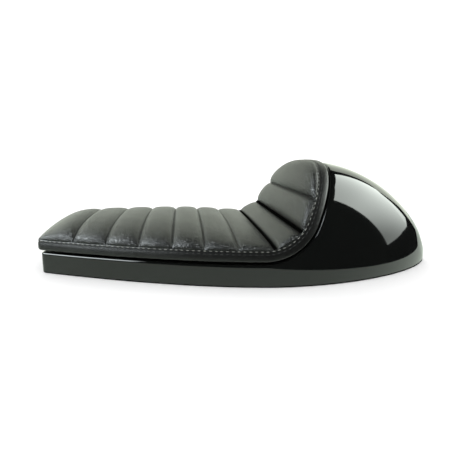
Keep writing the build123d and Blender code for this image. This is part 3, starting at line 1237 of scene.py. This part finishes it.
    def build_stitches(self, name: str, place: tuple[float, float]) -> bpy.types.Object:
        """Models a row of stitches along the band.

        Args:
            name: The piece's name.
            place: Distance below the edge seam and in from the band's outermost line.

        Returns:
            The finished piece.
        """
        path = self._stitch_path(*place)
        radius = self.thread_radius
        size = Matrix.Diagonal((self.stitch_length/2, radius, radius, 1.0))
        upright = Matrix.Rotation(math.pi/2, 4, "Y")
        round_it, along_it = self.stitch_segments
        mesh = bmesh.new()
        walked, due = 0.0, self.stitch_pitch/2
        for (here, out), (there, _) in zip(path, path[1:]):
            step = there - here
            walked += step.length
            if walked < due or step.length < MERGE:
                continue
            due += self.stitch_pitch
            along = step.normalized()
            side = out.cross(along).normalized()
            turn = Matrix((along, side, along.cross(side))).transposed().to_4x4()
            spot = Matrix.Translation(here + out*radius*self.stitch_proud)
            bmesh.ops.create_uvsphere(mesh, u_segments=round_it, v_segments=along_it, radius=1.0,
                                      matrix=spot @ turn @ size @ upright)
        for face in mesh.faces:
            face.smooth = True
        return new_piece(name, mesh)

    def build(self) -> None:
        """Builds and dresses the panel, band, stitches and foam, and finishes the board."""
        leather = GrainLeather().material()
        panel = self.build_panel()
        dress(panel, leather)
        seat_piece(panel, Slot.LEATHER, "cover_top")
        band = self.build_band()
        dress(band, GrainLeather("band_leather", depth=self.band_grain).material())
        seat_piece(band, Slot.LEATHER, "cover_band")
        pale = TwistedThread("pale_thread", (0.24, 0.25, 0.225), (0.13, 0.135, 0.12))
        dark = TwistedThread("dark_thread", (0.02, 0.02, 0.019), (0.010, 0.010, 0.010))
        for name, place, thread in (("seam_stitches", self.seam_row, pale),
                                    ("hem_stitches", self.hem_row, dark)):
            row = self.build_stitches(name, place)
            dress(row, thread.material())
            seat_piece(row, Slot.LEATHER)
        foam = self.build_foam()
        dress(foam, OpenFoam().material())
        seat_piece(foam, Slot.FOAM, "foam_core")
        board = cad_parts["pad_board"]
        dress(board, MattBoard().material())
        LOG.info("%s: finished", board.name)


@dataclass
class Fasteners:
    """The threaded studs that hold the pad, with their washers and nuts."""

    first_x: float = -208.5
    spacing: tuple[float, float] = (200.0, 100.0)
    end_radius: float = 3.0
    shank_radius: float = 4.0
    tip: float = 2.0
    shoulder: float = 16.4
    flange: tuple[float, float, float] = (12.0, 37.9, 39.4)
    thread_top: float = 30.0
    chamfer: float = 0.8
    run_out: float = 0.4
    run_in: float = 0.2
    pitches: tuple[float, float] = (1.0, 1.25)
    thread_depth: float = 0.55
    segments: int = 24
    steps: int = 8
    sharp: float = 50.0

    def places(self) -> list[Vector]:
        """Axes of the four studs, on the floor."""
        length, width = self.spacing
        return [Vector((self.first_x + i*length, j*width/2, 0.0)) for i in (0, 1) for j in (-1, 1)]

    def _sections(self) -> list[tuple[float, float, float]]:
        """Rows of a stud from its tip up: height, radius and the pitch of the thread there, if any."""
        fine, coarse = self.pitches
        foot = self.shoulder - (self.shank_radius - self.end_radius)
        rows = [(self.tip, 0.0, 0.0), (self.tip, self.end_radius - self.chamfer, 0.0)]
        threads = ((self.end_radius, fine, self.tip + self.chamfer, foot - self.run_out),
                   (self.shank_radius, coarse, self.shoulder + self.run_in, self.thread_top))
        for radius, pitch, low, high in threads:
            count = round((high - low)/pitch*self.steps)
            rows += [(mix(low, high, step/count), radius, pitch) for step in range(count + 1)]
            if pitch == fine:
                rows += [(foot, self.end_radius, 0.0), (self.shoulder, self.shank_radius, 0.0)]
        wide, low, high = self.flange
        return rows + [(low, self.shank_radius, 0.0), (low, wide, 0.0), (high, wide, 0.0), (high, 0.0, 0.0)]

    def build_studs(self) -> bpy.types.Object:
        """Models the studs, with their threads cut as helices.

        Returns:
            The finished piece.
        """
        rows = self._sections()
        studs = bmesh.new()
        for axis in self.places():

            def place(column: int, row: int) -> Vector:
                """Point of the stud for a column round it and a row up it."""
                z, radius, pitch = rows[row]
                turn = column/self.segments
                if pitch:
                    radius -= self.thread_depth*pitch*abs(2*((z/pitch - turn) % 1.0) - 1)
                angle = 2*math.pi*turn
                return axis + Vector((radius*math.cos(angle), radius*math.sin(angle), z))

            stud = mapped_grid(self.segments, len(rows) - 1, place)
            data = bpy.data.meshes.new("stud")
            stud.to_mesh(data)
            stud.free()
            studs.from_mesh(data)
            bpy.data.meshes.remove(data)
        mark_sharp(studs, self.sharp)
        return new_piece("threaded_studs", studs)

    def build(self) -> None:
        """Builds the studs and gives the metal parts their plating."""
        plate = ZincPlate().material()
        studs = self.build_studs()
        dress(studs, plate)
        seat_piece(studs, Slot.ZINC, "pad_studs")
        for node in ("stud_washers", "stud_nuts"):
            dress(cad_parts[node], plate)
            LOG.info("%s: plated", node)


@dataclass(frozen=True)
class LightPanel:
    """Soft panel that only the gloss mirrors, brighter towards its top.

    The corners go round it from the end of its top edge. The bows are how far the middles of its top and low
    edges stand out. The glow is its strength near the floor and at its top.
    """

    name: str
    corners: tuple[Corner, ...]
    glow: tuple[float, float]
    tint: Colour
    bows: tuple[Corner, Corner] = ((0.0, 0.0, 0.0), (0.0, 0.0, 0.0))
    glow_heights: tuple[float, float] = (-0.1, 1.0)

    def _mesh(self) -> bmesh.types.BMesh:
        """Sheet between the corners, with its edges bowed."""
        mesh = bmesh.new()
        bmesh.ops.create_grid(mesh, x_segments=2, y_segments=1, size=0.5)
        top_far, low_far, low_near, top_near = (Vector(corner)/MM for corner in self.corners)
        for vert in mesh.verts:
            across, up = vert.co.x + 0.5, vert.co.y + 0.5
            vert.co = low_far.lerp(low_near, across).lerp(top_far.lerp(top_near, across), up)
            if 0.25 < across < 0.75:
                vert.co += Vector(self.bows[0 if up > 0.5 else 1])/MM
        return mesh

    def build(self) -> None:
        """Puts the panel on the stage."""
        panel = new_piece(self.name, self._mesh())
        panel.visible_camera = False
        panel.visible_diffuse = False
        panel.visible_shadow = False
        shader = Shader(self.name)
        height = Value(shader, shader.node("ShaderNodeSeparateXYZ", {}, {0: shader.place}).outputs["Z"])
        dim, bright = (tuple(strength*part for part in self.tint) for strength in self.glow)
        colour = shader.blend(shader.ease(height, *self.glow_heights), dim, bright)
        shader.set(Base_Color=(0.0, 0.0, 0.0, 1.0), Emission_Color=colour, Emission_Strength=1.0)
        dress(panel, shader.material)


@dataclass
class Studio:
    """Pale floor, soft light and the camera."""

    rim: list[Vector]
    camera_place: Vector = field(default_factory=lambda: Vector((-0.0905, -0.438, 0.167)))
    camera_pitch: float = 16.32
    lens: float = 21.72
    shift: float = 0.1056
    near: float = 0.01
    floor_size: float = 8.0
    floor_colour: Colour = (0.90, 0.90, 0.90)
    floor_roughness: float = 0.8
    table_edge: Vector = field(default_factory=lambda: Vector((0.122, -0.178, 0.0)))
    table_edge_turn: float = 29.4
    room_light: float = 1.45
    dark_room: float = 0.012
    mirrored_tint: Colour = (0.67, 0.75, 0.66)
    panels: tuple[LightPanel, ...] = (
        LightPanel("light_panel", glow=(1.8, 7.2), tint=(0.93, 1.0, 0.94),
                   corners=((1.133, 0.578, 1.459), (2.031, 0.643, 0.24),
                            (2.743, -0.651, -0.238), (1.574, -1.009, 1.447)),
                   bows=((-0.085, -0.135, 0.163), (-0.04, 0.0, 0.07))),
        LightPanel("left_window", glow=(8.0, 8.0), tint=DAYLIGHT,
                   corners=((-2.10, -0.70, 1.25), (-2.10, -1.20, 0.50),
                            (-0.95, -1.60, 0.60), (-0.95, -1.05, 1.30))),
        LightPanel("skylight", glow=(18.0, 18.0), tint=DAYLIGHT,
                   corners=((-2.2, 0.25, 1.00), (-2.2, -0.8, 0.75),
                            (-0.72, -0.92, 1.32), (-0.80, -0.15, 1.45))),
        LightPanel("backdrop", glow=(1.32, 1.32), tint=PALE_WALL,
                   corners=((1.0, 1.5, 1.68), (1.0, 1.5, -0.3), (-1.1, 1.5, -0.3), (-1.1, 1.5, 2.02))),
        LightPanel("backdrop_left", glow=(2.3, 2.3), tint=PALE_WALL,
                   corners=((-1.1, 1.5, 2.02), (-1.1, 1.5, -0.3), (-4.0, 1.5, -0.3), (-4.0, 1.5, 2.5))),
        LightPanel("backdrop_side", glow=(1.6, 1.6), tint=PALE_WALL,
                   corners=((3.25, 1.5, 1.34), (3.25, 1.5, -0.3), (1.0, 1.5, -0.3), (1.0, 1.5, 2.6))))

    def build(self) -> None:
        """Sets the floor, the surroundings, the lights and the camera."""
        self._floor()
        self._mirrored_floor()
        self._world()
        for panel in self.panels:
            panel.build()
        self._camera()

    def _floor(self) -> None:
        """Plain pale floor under the rim."""
        mesh = bmesh.new()
        bmesh.ops.create_grid(mesh, x_segments=4, y_segments=4, size=self.floor_size/2/MM)
        self._lay("floor", mesh, self.floor_colour, False)

    def _mirrored_floor(self) -> None:
        """Floor that the gloss mirrors, from a line round the rim out to the table's edge."""
        mesh = bmesh.new()
        inner = [mesh.verts.new(point) for point in self.rim]
        outer = [mesh.verts.new(point.normalized()*self.floor_size/2/MM) for point in self.rim]
        for ring in (inner, outer):
            for first, second in zip(ring, ring[1:] + ring[:1]):
                mesh.edges.new((first, second))
        bmesh.ops.bridge_loops(mesh, edges=mesh.edges[:])
        turn = math.radians(self.table_edge_turn)
        out = Vector((math.sin(turn), -math.cos(turn), 0.0))
        geometry = mesh.verts[:] + mesh.edges[:] + mesh.faces[:]
        bmesh.ops.bisect_plane(mesh, geom=geometry, plane_co=self.table_edge/MM, plane_no=out,
                               clear_outer=True)
        self._lay("mirrored_floor", mesh, self.mirrored_tint, True)

    def _lay(self, name: str, mesh: bmesh.types.BMesh, colour: Colour, mirrored: bool) -> None:
        """Puts a floor on the stage.

        Args:
            name: The floor's name.
            mesh: Its mesh, in millimetres.
            colour: Its colour.
            mirrored: Whether only the gloss sees it, or else all but the gloss.
        """
        shader = Shader(name)
        shader.set(Base_Color=(*colour, 1.0), Roughness=self.floor_roughness, Specular_IOR_Level=0.0)
        floor = new_piece(name, mesh)
        floor.visible_camera = not mirrored
        floor.visible_diffuse = not mirrored
        floor.visible_shadow = not mirrored
        floor.visible_glossy = mirrored
        dress(floor, shader.material)

    def _world(self) -> None:
        """White all round for the camera and the floor, and a dark room for the gloss."""
        world = bpy.data.worlds.new("studio")
        world.use_nodes = True
        tree = world.node_tree
        tree.nodes.clear()
        path = tree.nodes.new("ShaderNodeLightPath")
        strength = tree.nodes.new("ShaderNodeMapRange")
        strength.inputs["To Min"].default_value = self.room_light
        strength.inputs["To Max"].default_value = self.dark_room
        room = tree.nodes.new("ShaderNodeBackground")
        room.inputs["Color"].default_value = (1.0, 1.0, 1.0, 1.0)
        out = tree.nodes.new("ShaderNodeOutputWorld")
        tree.links.new(path.outputs["Is Glossy Ray"], strength.inputs["Value"])
        tree.links.new(strength.outputs["Result"], room.inputs["Strength"])
        tree.links.new(room.outputs[0], out.inputs["Surface"])
        bpy.context.scene.world = world

    def _camera(self) -> None:
        """Camera at the photograph's angle."""
        data = bpy.data.cameras.new("camera")
        data.lens = self.lens
        data.shift_x = self.shift
        data.clip_start = self.near
        camera = bpy.data.objects.new("camera", data)
        camera.location = self.camera_place
        camera.rotation_euler = (math.radians(90 - self.camera_pitch), 0.0, 0.0)
        scene = bpy.context.scene
        scene.collection.objects.link(camera)
        scene.camera = camera
        scene.view_settings.view_transform = "Standard"


def main() -> None:
    """Builds the seat piece by piece and reports each."""
    logging.basicConfig(level=logging.INFO, format="%(name)s %(message)s")
    form = SeatForm.from_frame()
    fasteners = Fasteners()
    cowl = Cowl(form, fasteners)
    cowl.dress(cowl.build())
    Pad(form).build()
    fasteners.build()
    Studio(cowl.rim_loop()).build()


if __name__ == "__main__":
    main()
